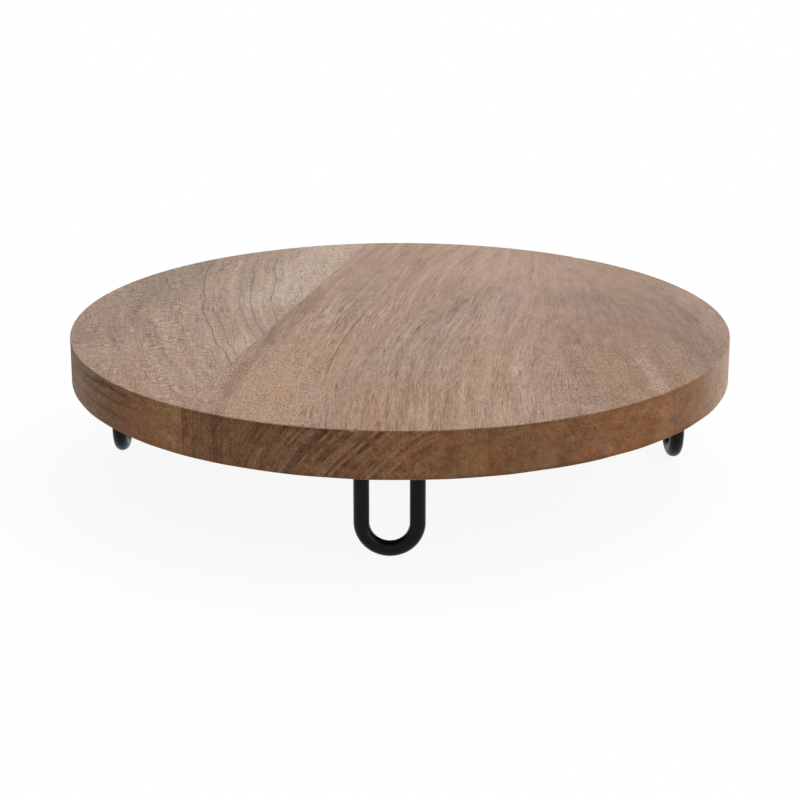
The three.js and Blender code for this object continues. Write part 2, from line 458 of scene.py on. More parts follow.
def finish_plank(tree, shader, grain, side, top_colour, rim_colour):
    """Joins the colours of the top and the rim, and sinks the pores into the surface."""
    pores = grain["Pores"]
    feed(tree, shader.inputs["Base Color"], tint(tree, side, top_colour, rim_colour))
    feed(tree, shader.inputs["Roughness"], fade(tree, pores, 0, 1, WOOD_ROUGHNESS, PORE_ROUGHNESS))
    sunk = add_node(tree, "ShaderNodeBump",
                    {"Height": pores, "Strength": PORE_STRENGTH, "Distance": PORE_DEPTH}, invert=True)
    feed(tree, shader.inputs["Normal"], sunk.outputs[0])


print("pores sink", PORE_DEPTH / MM, "mm")

# %% [markdown]
# ## The wide plank
# This plank was sawn flat through a trunk whose heart lay below the board on the right. The growth rings
# are cones about that heart, so on the top they open towards the front like the arches of a cathedral,
# and on the front of the rim they lean. One number, the distance from the heart, places every band. The
# places in these recipes are millimetres on the plan, and the strengths are shares of one.

# %% Where the grain of the wide plank runs
WOOD_GLOSS = 0.1
SWAY_REACH = 12
FRAY_REACH = 10
HEART_RIGHT = 71.7
HEART_LEAN = 0.14
HEART_DEPTH = 155
ARCH_STRENGTH = -0.0014

wide_wood, tree, shader = new_finish("wide_stave_wood", Specular_IOR_Level=WOOD_GLOSS)
right, back, rise = use_group(tree, plan_group)
sway = drawn_noise(tree, (right, back, rise), (0.014, 0.006, 0.014))
shifted = wander(tree, right, sway, SWAY_REACH)
from_heart = calc(tree, "SUBTRACT", shifted, calc(tree, "MULTIPLY_ADD", back, HEART_LEAN, HEART_RIGHT))
squeezed = calc(tree, "SUBTRACT", times(tree, from_heart, 1.3),
                times(tree, calc(tree, "ABSOLUTE", from_heart), 0.3))
depth = total(tree, HEART_DEPTH, times(tree, back, 0.12), times(tree, rise, 1.4))
ring = calc(tree, "SQRT", total(tree, times(tree, squeezed, squeezed), times(tree, depth, depth)))
lean = fade(tree, shifted, 40, 115, 0.16, -0.08)
bow = fade(tree, shifted, 40, 100, 0.0004, 0)
rear = calc(tree, "MAXIMUM", back, 0)
arch = calc(tree, "MULTIPLY_ADD", ridge(tree, shifted, 48, 60), 0.25,
            times(tree, ridge(tree, shifted, 120, 60), -1.4))
fibre = calc(tree, "SUBTRACT", shifted, times(tree, back, calc(tree, "MULTIPLY_ADD", back, bow, lean)))
fibre = calc(tree, "MULTIPLY_ADD", times(tree, rear, rear, arch), ARCH_STRENGTH, fibre)
fray = drawn_noise(tree, (fibre, back, rise), (0.25, 0.012, 0.25), 3, 0.7)
frayed = wander(tree, right, fray, FRAY_REACH)
print("wide plank grain placed")

# %% Colour of the wide plank
TAN = chart(154, 127, 108)
MAUVE = chart(141, 117, 103)
PALE = chart(182, 156, 134)
DARK = chart(84, 58, 44)
OLIVE = chart(154, 126, 104)
PINK = chart(161, 134, 119)
ORANGE = chart(164, 132, 102)
DUSK = chart(128, 103, 89)
BROWN = chart(138, 106, 82)
BAND = chart(122, 93, 76)
STRIP = chart(149, 120, 99)
FRONT = chart(150, 114, 87)
WARM = chart(170, 142, 126)
MOSS = chart(152, 128, 98)
WIDE_STREAKS = [
    (BROWN, 0.4, 125, 0, 0, 75, -170, 170),
    (MAUVE, 0.6, 17, 0.28, 0.0014, 22, -110, 85),
    (OLIVE, 0.8, -27.6, 0.24, 0, 34, 80, 170),
    (PINK, 0.85, 36, 0.3, 0.0014, 18, -15, 110),
    (ORANGE, 0.8, -30, 0.2, 0, 26, -170, -25),
    (ORANGE, 0.5, 46, 0.1, 0, 20, -170, -35),
    (DUSK, 0.75, 114, -0.25, 0, 50, -75, 60),
    (BROWN, 0.75, 104, 0, 0, 40, -160, -60),
    (PALE, 0.55, 45, -0.085, 0, 4, -135, -60),
    (PALE, 0.3, 140, -0.1, 0, 6, -40, 60),
    (BAND, 0.4, 16, 0.34, 0.001, 4, 5, 60),
    (PALE, 0.5, -38.5, 0.235, 0, 3, -10, 40),
    (BAND, 0.5, -28, 0.235, 0, 3, -5, 60),
    (FRONT, 0.7, 8, 0.1, 0, 44, -170, -85),
    (WARM, 0.6, 29, 0.1, 0, 32, 85, 170),
    (WARM, 0.45, 64, 0, 0, 34, 55, 120),
    (BROWN, 0.35, 112, 0, 0, 46, -110, 0),
    (DUSK, 0.85, 134, 0, 0, 34, -60, 30),
    (BAND, 0.5, 126, -0.06, 0, 5, -62, 0),
    (BAND, 0.35, 80, -0.06, 0, 4, -60, 10),
    (PINK, 0.5, 146, 0, 0, 9, -30, 60),
    (BROWN, 0.85, 92, -0.1, 0, 42, -120, 0),
    (DUSK, 0.22, 112, 0, 0, 40, -90, 20),
    (MOSS, 0.32, 84, -0.1, 0, 9, -112, -35),
    (MOSS, 0.36, 111, -0.14, 0, 7, -92, -25),
    (PALE, 0.42, 97, -0.14, 0, 5, -105, -50),
    (BAND, 0.45, 76, 0, 0, 16, -140, -118),
    (MAUVE, 0.35, -30, 0.25, 0, 14, 10, 75),
    (STRIP, 0.8, -83, 0.15, 0, 9, -170, -85),
    (BAND, 0.54, -53, 0.26, 0.0007, 9, -62, 62),
    (BAND, 0.75, -53.3, 0.26, 0.0007, 5, -170, -62),
]

LONG_PORES = [(DARK, 0.5, -20.4, 0.212, 0.00084, 0.8, -80, 18)]
# Right, back and radius
KNOTS = [(85, 96, 2), (120, 75, 1.5)]

broad = grow_bands(tree, ring, back, 9, 220)
streaky = grow_bands(tree, fibre, back, 4.6, 100)
lined = times(tree, fade(tree, right, 30, 100, 1, 0.4),
              fade(tree, ridge(tree, right, -58, 36), 0, 1, 1, fade(tree, back, -70, -30, 0.3, 1)))
grain = use_group(tree, grain_group, {"Across": fibre, "Along": back, "Deep": rise})
ground = lay_streaks(tree, TAN, frayed, back, WIDE_STREAKS)
hue = drawn_noise(tree, (right, back, rise), (0.07, 0.03, 0.07), 3)
hue_strength = fade(tree, right, 95, 130, 0.6, 0.25)
ground = tint(tree, fade(tree, hue, 0.5, 0.7, 0, hue_strength), ground, PINK)
ground = tint(tree, fade(tree, hue, 0.5, 0.3, 0, hue_strength), ground, OLIVE)
ground = overlay(tree, ground, MAUVE, broad["Tone"], 0.25)
front_left = times(tree, fade(tree, back, -55, 5, 1, 0), fade(tree, right, -48, -12, 1, 0))
front_right = times(tree, fade(tree, back, -45, -5, 0.8, 0), fade(tree, right, 45, 80))
grainy = calc(tree, "MAXIMUM", front_left, front_right)
streak_depth = times(tree, fade(tree, right, 30, 90, 0.25, 0.08), fade(tree, grainy, 0, 1, 1, 0.35))
ground = overlay(tree, ground, PALE, fade(tree, streaky["Tone"], 0.5, 1), streak_depth)
ground = overlay(tree, ground, BAND, fade(tree, streaky["Tone"], 0.5, 0), streak_depth)
for knot_right, knot_back, knot_radius in KNOTS:
    away_right = calc(tree, "SUBTRACT", right, knot_right)
    away_back = calc(tree, "SUBTRACT", back, knot_back)
    away = calc(tree, "SQRT", total(tree, times(tree, away_right, away_right),
                                    times(tree, away_back, away_back)))
    ground = tint(tree, fade(tree, away, knot_radius * 0.3, knot_radius, 0.4, 0), ground, DARK)
mottle = fade(tree, drawn_noise(tree, (fibre, back, rise), (0.16, 0.07, 0.16), 5, 0.7), 0.3, 0.7, -1, 1)
mottled = fade(tree, right, 20, 80, 0.03, 0.11)
ground = shade(tree, ground, calc(tree, "MULTIPLY_ADD", mottle, mottled, 1))
crisp = times(tree, fade(tree, back, 20, 110, 1, 0.62), fade(tree, right, 30, 110, 1, 0.9))
ground = lay_streaks(tree, ground, right, back, LONG_PORES)
stroked = times(tree, fade(tree, grainy, 0, 1, 0.135, 0.05), fade(tree, back, 10, 70, 1, 0.45),
                fade(tree, right, 30, 90, 1, 0.4))
top_colour = add_grain(tree, ground, grain, times(tree, lined, 0.13), stroked,
                       times(tree, crisp, fade(tree, grainy, 0, 1, 0.17, 0.4)),
                       times(tree, crisp, fade(tree, grainy, 0, 1, 0.15, 0.34)),
                       times(tree, lined, crisp, 0.56), DARK)
print("wide plank streaks", len(WIDE_STREAKS))

# %% Rim and surface of the wide plank
WIDE_STAIN = (0.72, 0.52, 0.32, 1)
RIM_PALE = chart(150, 120, 92)
RIM_DARK = chart(60, 36, 26)
RIM_ASH = chart(132, 104, 82)
# Paler colour of a painted reflection on the right end of the rim
RIM_END_REFLECTION = chart(169, 143, 125)
RIM_RED = chart(140, 88, 60)
RIM_OLIVE = chart(130, 103, 74)
# Middle, half width and change of light
RIM_PATCHES = [(-48, 34, -0.14), (-3, 20, 0.28), (46, 32, -0.24), (98, 24, 0.12)]

fine = grow_bands(tree, ring, back, 2.8, 90)
hairs = grow_bands(tree, ring, back, 1.5, 70)
striped = fade(tree, right, 0, 28, 1, 0.05)
uneven = fade(tree, drawn_noise(tree, (right, 0, rise), (0.13, 1, 0.2)), 0.38, 0.62)
bold = times(tree, striped, fade(tree, uneven, 0, 1, 0.25, 1), fade(tree, right, -78, -45, 0.35, 1),
             fade(tree, ridge(tree, right, -18, 30), 0, 1, 1, 1.4))
stripes = 1
for middle, half_width, change in RIM_PATCHES:
    stripes = calc(tree, "MULTIPLY_ADD", ridge(tree, right, middle, half_width), change, stripes)
top_shade = times(tree, ridge(tree, right, -38, 60), fade(tree, rise, -17, -1, -0.08, 0.24))
stripes = calc(tree, "SUBTRACT", stripes, top_shade)
sides = use_group(tree, rim_group, {"Right": right, "Rise": rise})
stained = tint(tree, 1, ground, WIDE_STAIN, "MULTIPLY")
# The rim's blotches and its painted edge shade darken the stain
stained = shade(tree, stained, times(tree, stripes, sides["Blotches And Edge Shade"]))
blotch = drawn_noise(tree, (right, 0, rise), (0.12, 1, 0.15), 4, 0.65)
stained = overlay(tree, stained, RIM_ASH, fade(tree, blotch, 0.5, 0.66), striped, 0.5)
stained = overlay(tree, stained, RIM_DARK, fade(tree, blotch, 0.5, 0.34), striped, 0.4)
stained = overlay(tree, stained, RIM_DARK, fade(tree, fine["Tone"], 0.5, 0.15), bold, 0.7)
stained = overlay(tree, stained, RIM_ASH, fade(tree, fine["Tone"], 0.5, 0.8), bold, 0.75)
stained = overlay(tree, stained, RIM_PALE, hairs["Lines"], striped, uneven, 0.5)
stained = overlay(tree, stained, RIM_DARK, fine["Lines"], striped, uneven, 0.5)
slant = drawn_noise(tree, (calc(tree, "MULTIPLY_ADD", rise, 0.7, right), 0, rise), (0.8, 1, 0.09))
stained = overlay(tree, stained, RIM_DARK, fade(tree, slant, 0.6, 0.7), ridge(tree, right, 72, 40), 0.5)
rim_hue = drawn_noise(tree, (right, 0, rise), (0.09, 1, 0.13), 3)
hue_depth = fade(tree, right, -30, 20, 0.25, 0.38)
stained = overlay(tree, stained, RIM_RED, fade(tree, rim_hue, 0.52, 0.68), hue_depth)
stained = overlay(tree, stained, RIM_OLIVE, fade(tree, rim_hue, 0.5, 0.36), hue_depth)
from_glue = calc(tree, "MULTIPLY_ADD", back, -0.24, right)
upright_lines = drawn_noise(tree, (from_glue, 0, rise), (0.9, 1, 0.03), 2)
near_glue = ridge(tree, from_glue, -50, 26)
stained = overlay(tree, stained, RIM_DARK, fade(tree, upright_lines, 0.5, 0.62), near_glue, 0.5)
stained = overlay(tree, stained, RIM_RED, fade(tree, upright_lines, 0.5, 0.38), near_glue, 0.4)
stained = overlay(tree, stained, RIM_PALE, ridge(tree, from_glue, -51.3, 0.8), 0.5)
# Painted reflection: the right end of the rim, seen at a glancing angle, is tinted paler
stained = tint(tree, fade(tree, right, 98, 118, 0, 0.1), stained, RIM_END_REFLECTION)
stained = tint(tree, fade(tree, right, 122, 146, 0, 0.82), stained, RIM_END_REFLECTION)
rim_specks = fade(tree, right, 0, 40, 0.36, 0.18)
rim_colour = add_grain(tree, stained, grain, 0.14, 0, rim_specks, 0.18, 0.4, RIM_DARK)
finish_plank(tree, shader, grain, sides["Side"], top_colour, rim_colour)
print("wide plank nodes", len(tree.nodes))

# %% [markdown]
# ## The narrow plank
# The other plank is greyer. Its grain runs straight at the back and bends to the right at the front, along
# a parabola. Growth lines follow it, one of them dark and sharp, and a curly figure ripples across it in
# patches.

# %% Where the grain of the narrow plank runs
narrow_wood, tree, shader = new_finish("narrow_stave_wood", Specular_IOR_Level=WOOD_GLOSS)
right, back, rise = use_group(tree, plan_group)
behind = calc(tree, "SUBTRACT", back, 87)
bend = times(tree, behind, behind, -0.001)
sway = drawn_noise(tree, (right, back, rise), (0.02, 0.02, 0.02))
fibre = wander(tree, total(tree, right, bend), sway, 8)
ripple = drawn_noise(tree, (fibre, back, rise), (0.05, 0.05, 0.05))
line = wander(tree, calc(tree, "MULTIPLY_ADD", rise, 0.8, fibre), ripple, 3)
grain_fibre = calc(tree, "MULTIPLY_ADD", bend, -0.45, fibre)
fray = drawn_noise(tree, (fibre, back, rise), (0.25, 0.02, 0.25), 3, 0.7)
frayed = wander(tree, right, fray, FRAY_REACH)
print("narrow plank grain placed")

# %% Colour of the narrow plank
GREY_TAN = chart(149, 126, 109)
GREY_PALE = chart(177, 157, 141)
GREY_LIGHT = chart(198, 180, 163)
GREY_DARK = chart(84, 62, 48)
GREY_GREEN = chart(124, 106, 89)
GREY_PINK = chart(130, 105, 91)
ROSE_CAST = (1.04, 0.975, 0.99, 1)
MOSS_CAST = (0.97, 1.01, 0.95, 1)
NARROW_STREAKS = [
    (GREY_GREEN, 0.68, -139, 0.3, 0, 32, 25, 130),
    (GREY_PINK, 0.7, -134, 0, 0, 26, -30, 30),
    (STRIP, 0.8, -105, 0, 0, 50, -170, -50),
    (GREY_PALE, 0.68, -70, 0.267, 0, 26, 30, 170),
    (GREY_PALE, 0.5, -62, 0.267, 0, 10, -48, -16),
    (STRIP, 0.6, -67, 0.267, 0, 11, -170, -95),
]
# Tone, strength, middle, half width, front end and rear end
GROWTH_LINES = [
    (GREY_LIGHT, 0.36, -57, 1.6, 0, 120), (GREY_DARK, 0.34, -62.5, 0.8, -20, 120),
    (GREY_LIGHT, 0.28, -69, 1.5, -20, 120), (GREY_DARK, 0.4, -73, 1, -25, 120),
    (GREY_DARK, 0.3, -78, 0.8, -30, 100), (GREY_LIGHT, 0.28, -82, 1.6, -40, 120),
    (GREY_DARK, 0.36, -90.5, 0.7, -50, 60), (GREY_DARK, 0.68, -95.5, 0.6, -65, 115),
    (GREY_PALE, 0.3, -98, 1.4, -70, 60), (GREY_LIGHT, 0.2, -107, 2.2, -85, 15),
    (GREY_DARK, 0.16, -110, 1.4, -90, 20), (GREY_LIGHT, 0.2, -117, 2.4, -105, 15),
    (GREY_DARK, 0.16, -121, 1.6, -110, 20), (GREY_PALE, 0.25, -127, 1.6, -110, 0),
]
LINE_SOFT = 10

broad = grow_bands(tree, line, back, 10, 160)
grain = use_group(tree, grain_group, {"Across": grain_fibre, "Along": back, "Deep": rise})
ground = lay_streaks(tree, GREY_TAN, frayed, back, NARROW_STREAKS)
ground = overlay(tree, ground, GREY_PALE, broad["Tone"], 0.25)
hue = drawn_noise(tree, (right, back, rise), (0.1, 0.05, 0.1), 3, 0.6)
ground = tint(tree, fade(tree, hue, 0.5, 0.66), ground, ROSE_CAST, "MULTIPLY")
ground = tint(tree, fade(tree, hue, 0.5, 0.34), ground, MOSS_CAST, "MULTIPLY")
dabs = fade(tree, drawn_noise(tree, (line, back, rise), (0.2, 0.15, 0.2)), 0.38, 0.62, 0.35, 1)
for tone, strength, middle, half_width, front, rear in GROWTH_LINES:
    lasting = times(tree, fade(tree, back, front - LINE_SOFT, front + LINE_SOFT),
                    fade(tree, back, rear - LINE_SOFT, rear + LINE_SOFT, 1, 0))
    mask = times(tree, ridge(tree, line, middle, half_width), lasting, strength)
    if tone is not GREY_DARK:
        mask = times(tree, mask, dabs)
    ground = tint(tree, mask, ground, tone)
print("narrow plank streaks", len(NARROW_STREAKS), "and growth lines", len(GROWTH_LINES))

# %% Curly figure of the narrow plank
CURL_WIDTH = 3.4
CURL_LENGTH = 1.7
SWIRL_REACH = 15
swirl = drawn_noise(tree, (line, back, rise), (0.1, 0.06, 0.1), 1)
swirled = calc(tree, "MULTIPLY_ADD", swirl, SWIRL_REACH, back)
curl_scales = (1 / CURL_WIDTH, 1 / CURL_LENGTH, 1 / CURL_WIDTH)
curl = fade(tree, drawn_noise(tree, (line, swirled, rise), curl_scales, 1), 0.32, 0.68, -1, 1)
curl_patches = fade(tree, drawn_noise(tree, (line, back, rise), (0.08, 0.07, 0.08)), 0.4, 0.62)
curly = times(tree, fade(tree, curl_patches, 0, 1, 0.1, 0.32), fade(tree, right, -110, -75, 1, 0.5))
ground = shade(tree, ground, calc(tree, "MULTIPLY_ADD", curl, curly, 1))
top_colour = add_grain(tree, ground, grain, 0.1, 0.05, 0.28, 0.24, 0.4, GREY_DARK)
print("ripples", CURL_WIDTH, "by", CURL_LENGTH, "mm")

# %% Rim and surface of the narrow plank
NARROW_STAIN = (0.65, 0.48, 0.29, 1)
# Height and strength
RIM_WAVES = [(-3.4, 0.75), (-7.2, 0.6), (-13, 0.35)]
WAVE_REACH = 7
# Tone patches along the narrow rim, and a painted reflection that lightens its left end, seen at a glancing
# angle
patches_and_end_reflection = times(tree, fade(tree, ridge(tree, right, -96, 14), 0, 1, 1, 1.65),
               fade(tree, ridge(tree, right, -120, 14), 0, 1, 1, 0.84),
               fade(tree, right, -132, -146, 1, 1.26))
sides = use_group(tree, rim_group, {"Right": right, "Rise": rise})
stained = tint(tree, 1, ground, NARROW_STAIN, "MULTIPLY")
# The rim's blotches and its painted edge shade darken the stain
stained = shade(tree, stained, times(tree, patches_and_end_reflection, sides["Blotches And Edge Shade"]))
stained = tint(tree, 0.4, stained, RIM_OLIVE)
wave = drawn_noise(tree, (right, 0, rise), (0.07, 1, 0.25), 3)
wavy = wander(tree, rise, wave, WAVE_REACH)
stained = overlay(tree, stained, RIM_RED, ridge(tree, right, -114, 20), 0.35)
for height, strength in RIM_WAVES:
    mark = times(tree, ridge(tree, wavy, height, 1.8), fade(tree, right, -108, -122), strength)
    stained = tint(tree, mark, stained, RIM_DARK)
# Painted reflection: the left end of the rim is tinted paler and greyer
stained = tint(tree, fade(tree, right, -122, -142, 0, 0.5), stained, GREY_PINK)
rim_colour = add_grain(tree, stained, grain, 0.16, 0, 0.3, 0.22, 0.4, RIM_DARK)
finish_plank(tree, shader, grain, sides["Side"], top_colour, rim_colour)
print("narrow plank nodes", len(tree.nodes))

# %% [markdown]
# ## Black coat and screws
# Powder coat flows out to a satin skin with a faint orange-peel texture. The screws are blackened steel.

# %% Black coat and screw steel
COAT_GLOSS = 0.13
COAT_BLACK = chart(13, 13, 14)
PEEL_FINENESS = 900.0
PEEL_DEPTH = 0.05 * MM
STEEL_DARK = chart(30, 30, 32)
STEEL_GREY = chart(62, 62, 64)
STEEL_FINENESS = 1500.0

coat, coat_tree, coat_shader = new_finish("black_coat", Specular_IOR_Level=COAT_GLOSS)
peel = cloud(coat_tree, own_point(coat_tree), PEEL_FINENESS)
coat_shader.inputs["Base Color"].default_value = COAT_BLACK
feed(coat_tree, coat_shader.inputs["Roughness"], fade(coat_tree, peel, 0.3, 0.7, 0.27, 0.38))
peel_bump = add_node(coat_tree, "ShaderNodeBump", {"Height": peel, "Strength": 0.2, "Distance": PEEL_DEPTH})
feed(coat_tree, coat_shader.inputs["Normal"], peel_bump.outputs[0])

steel, steel_tree, steel_shader = new_finish("black_screw", Metallic=0.8)
mottle = cloud(steel_tree, own_point(steel_tree), STEEL_FINENESS, 3.0)
feed(steel_tree, steel_shader.inputs["Base Color"], tint(steel_tree, mottle, STEEL_DARK, STEEL_GREY))
feed(steel_tree, steel_shader.inputs["Roughness"], fade(steel_tree, mottle, 0.3, 0.7, 0.3, 0.5))
print("coat and steel ready")

# %% [markdown]
# ## The two planks
# The board is turned as one disc and then parted along the glue line, as the real one was glued first and
# turned after. Rings of points follow the profile from the middle of the top, over the eased edge, down
# the rim and under. Sanding by hand leaves the edge a little uneven, so its rounding wanders, and use has
# left two small nicks in the upper edge.

# %% Turn the disc
RIM_STEPS = 640
NICKS = [(math.radians(-95), 1.9 * MM), (math.radians(55), 1.2 * MM)]
NICK_SPREAD = math.radians(0.5)
TOP_RINGS = 22
EDGE_ROUNDING = 0.6 * MM
EDGE_BAND = 3 * MM
EDGE_LEAD = 0.2 * MM
EDGE_STEPS = 6
RIM_ROWS = 7


def eased_face(rounding):
    """Points (radius, depth below the face) from near the middle to the rim."""
    flat = BOARD_RADIUS - rounding
    inner = BOARD_RADIUS - EDGE_BAND
    points = [(inner * (step + 1) / TOP_RINGS, 0.0) for step in range(TOP_RINGS)]
    points.append((flat - EDGE_LEAD, 0.0))
    for step in range(EDGE_STEPS + 1):
        angle = math.pi / 2 * step / EDGE_STEPS
        points.append((flat + rounding * math.sin(angle), rounding * (1 - math.cos(angle))))
    return points


def board_profile(upper_rounding, lower_rounding):
    """Points (radius, height) from near the middle of the top to near the middle of the underside."""
    upper = [(radius, BOARD_TOP - depth) for radius, depth in eased_face(upper_rounding)]
    lower = [(radius, BOARD_BOTTOM + depth) for radius, depth in reversed(eased_face(lower_rounding))]
    first, last = upper[-1][1], lower[0][1]
    side = [(BOARD_RADIUS, first + (last - first) * row / RIM_ROWS) for row in range(1, RIM_ROWS)]
    return upper + side + lower


def turn_disc():
    disc = bmesh.new()
    rings = []
    for step in range(RIM_STEPS):
        angle = 2 * math.pi * step / RIM_STEPS
        way = Vector((math.cos(angle), math.sin(angle), 0))
        rounding = EDGE_ROUNDING * (1 + 0.3 * noise.noise(way * 3.1) + 0.15 * noise.noise(way * 17.0))
        for nick, size in NICKS:
            apart = (angle - nick + math.pi) % (2 * math.pi) - math.pi
            rounding += size * math.exp(-(apart / NICK_SPREAD) ** 2)
        under = EDGE_ROUNDING * (1.2 + 0.7 * noise.noise(way * 9.0))
        rings.append([disc.verts.new(way * radius + Vector((0, 0, height)))
                      for radius, height in board_profile(rounding, under)])
    top = disc.verts.new((0, 0, BOARD_TOP))
    bottom = disc.verts.new((0, 0, BOARD_BOTTOM))
    for step in range(RIM_STEPS):
        here, there = rings[step], rings[(step + 1) % RIM_STEPS]
        disc.faces.new((top, here[0], there[0]))
        disc.faces.new((bottom, there[-1], here[-1]))
        for row in range(len(here) - 1):
            disc.faces.new((here[row], here[row + 1], there[row + 1], there[row]))
    return disc


disc = turn_disc()
print("disc points", len(disc.verts))

# %% Part the disc at the glue line
GLUE_HALF_GAP = 0.04 * MM
CRISP_ANGLE = math.radians(35)
glue_normal = Vector((math.cos(GLUE_LEAN), -math.sin(GLUE_LEAN), 0))


def new_piece(name, mesh, finish, replaced=()):
    piece = add_object(name, mesh)
    mesh.materials.append(finish)
    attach(piece, "root")
    if replaced:
        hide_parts(*replaced)
    return piece


def mesh_from(shape, name):
    """A smooth-shaded mesh that keeps edges of more than 35 degrees crisp."""
    mesh = bpy.data.meshes.new(name)
    for face in shape.faces:
        face.smooth = True
    for edge in shape.edges:
        edge.smooth = edge.calc_face_angle(0.0) < CRISP_ANGLE
    shape.to_mesh(mesh)
    shape.free()
    return mesh


def part_stave(name, side, finish, node):
    """Keeps the disc on one side of the glue plane, -1 left or +1 right, and closes the cut."""
    half = disc.copy()
    point = glue_normal * (GLUE_OFFSET + side * GLUE_HALF_GAP)
    everything = half.verts[:] + half.edges[:] + half.faces[:]
    bmesh.ops.bisect_plane(half, geom=everything, plane_co=point, plane_no=glue_normal * -side,
                           clear_outer=True)
    cut = [edge for edge in half.edges if edge.is_boundary]
    bmesh.ops.holes_fill(half, edges=cut, sides=0)
    return new_piece(name, mesh_from(half, name), finish, (node,))


narrow = part_stave("narrow_plank", -1, narrow_wood, "narrow_stave")
wide = part_stave("wide_plank", 1, wide_wood, "wide_stave")
disc.free()
print("plank faces", len(narrow.data.polygons), len(wide.data.polygons))

# %% [markdown]
# ## Bent bars
# Each leg is a round bar bent to a U. A ring of points is carried down one upright, round the bend and up
# the other. Bending flattens the inside of the bar a little, and the foot is flat where it stands. The
# legs are fitted by hand, so two of them stand a little off their places.

# %% Sweep the bars
BAR_SIDES = 40
UPRIGHT_STEPS = 10
BEND_STEPS = 56
BEND_FLATTENING = 0.02
BEND_HEIGHT = BEND_RADIUS + BAR_RADIUS - FOOT_FLAT


def bar_stations():
    """(turn, height above the bend) along the bar, from one top to the other."""
    straight = PLATE_BOTTOM - BEND_HEIGHT
    down = [(0.0, straight * (1 - step / UPRIGHT_STEPS)) for step in range(UPRIGHT_STEPS)]
    bend = [(math.pi * step / BEND_STEPS, 0.0) for step in range(BEND_STEPS + 1)]
    up = [(math.pi, height) for _, height in reversed(down)]
    return down + bend + up


def bar_ring(turn, above):
    inward = Vector((0, math.cos(turn), math.sin(turn)))
    centre = Vector((0, -BEND_RADIUS * math.cos(turn), BEND_HEIGHT - BEND_RADIUS * math.sin(turn) + above))
    points = []
    for side in range(BAR_SIDES):
        angle = 2 * math.pi * side / BAR_SIDES
        inner = max(math.cos(angle), 0) * BEND_FLATTENING * math.sin(turn)
        point = centre + inward * BAR_RADIUS * (math.cos(angle) - inner)
        point.x += BAR_RADIUS * math.sin(angle)
        point.z = max(point.z, 0.0)
        points.append(point)
    return points


def wall_between(shape, first, second):
    """Joins two loops that have equally many points."""
    count = len(first)
    for side in range(count):
        after = (side + 1) % count
        shape.faces.new((first[side], first[after], second[after], second[side]))


def walls_along(shape, loops):
    """Joins each loop to the next one."""
    for here, there in zip(loops, loops[1:]):
        wall_between(shape, here, there)


def sweep_bar():
    shape = bmesh.new()
    rings = [[shape.verts.new(point) for point in bar_ring(*station)] for station in bar_stations()]
    walls_along(shape, rings)
    shape.faces.new(rings[0][::-1])
    shape.faces.new(rings[-1])
    bmesh.ops.recalc_face_normals(shape, faces=shape.faces[:])
    return shape


LEG_SLIPS = {"left": (1.6 * MM, math.radians(1)), "right": (-1.5 * MM, math.radians(5))}


def leg_place(leg):
    """Where a leg stands, with the small slip and twist that fitting by hand gives it."""
    slip, twist = LEG_SLIPS.get(leg, (0.0, 0.0))
    moved = Matrix.Translation((LEG_RADIUS + slip, 0, 0)) @ Matrix.Rotation(twist, 4, "Z")
    return Matrix.Rotation(LEG_TURNS[leg], 4, "Z") @ moved


def add_to_legs(label, make_shape, offset, finish, node=None):
    """Makes one piece for each leg, moved by offset from the leg's middle at the floor."""
    for leg in LEG_TURNS:
        shape = make_shape()
        shape.transform(leg_place(leg) @ Matrix.Translation(offset))
        name = f"{leg}_{label}"
        new_piece(name, mesh_from(shape, name), finish, (f"{leg}_leg_{node}",) if node else ())


add_to_legs("bar", sweep_bar, (0, 0, 0), coat, "bar")
print("bars swept")

# %% [markdown]
# ## Welds
# The bar meets its plate in a bead of weld, laid in small overlapping drops. The bead is a ring whose
# swelling rises and falls as it goes round. Coat covers it like the bar.

# %% Lay the weld beads
WELD_LEG = 2.0 * MM
WELD_DROPS = 11
WELD_SIDES = 66
WELD_SWELL = 0.28 * MM
WELD_STEPS = 6
WELD_ROOT = BAR_RADIUS - 0.5 * MM
WELD_FLAT = WELD_LEG - 0.3 * MM


def weld_ring(angle):
    """The bead's section at one angle: out along the plate, round the swelling and in to the bar."""
    drop = 0.5 + 0.5 * math.cos(WELD_DROPS * angle + 0.7 * math.sin(2 * angle))
    swell = WELD_SWELL * (0.35 + 0.65 * drop)
    way = Vector((math.cos(angle), math.sin(angle), 0))
    points = [way * WELD_ROOT]
    for step in range(WELD_STEPS + 1):
        share = step / WELD_STEPS
        bulge = swell * math.sin(math.pi * share) / math.sqrt(2)
        out = BAR_RADIUS + WELD_FLAT * (1 - share) + bulge
        down = WELD_LEG * share + bulge
        points.append(way * out - Vector((0, 0, min(down, WELD_LEG))))
    points.append(way * WELD_ROOT - Vector((0, 0, WELD_LEG)))
    return points


def lay_weld():
    shape = bmesh.new()
    rings = [[shape.verts.new(point) for point in weld_ring(2 * math.pi * side / WELD_SIDES)]
             for side in range(WELD_SIDES)]
    for side in range(WELD_SIDES):
        here, there = rings[side], rings[(side + 1) % WELD_SIDES]
        for row in range(len(here)):
            after = (row + 1) % len(here)
            shape.faces.new((here[row], there[row], there[after], here[after]))
    bmesh.ops.recalc_face_normals(shape, faces=shape.faces[:])
    return shape


add_to_legs("weld_a", lay_weld, (0, -BEND_RADIUS, PLATE_BOTTOM), coat)
add_to_legs("weld_b", lay_weld, (0, BEND_RADIUS, PLATE_BOTTOM), coat)
print("welds laid", WELD_DROPS, "drops each")

# %% [markdown]
# ## Plates
# A strip of sheet steel with rounded corners takes the bar and the two screws. Its edges are a little
# broken, and the screw holes go right through.

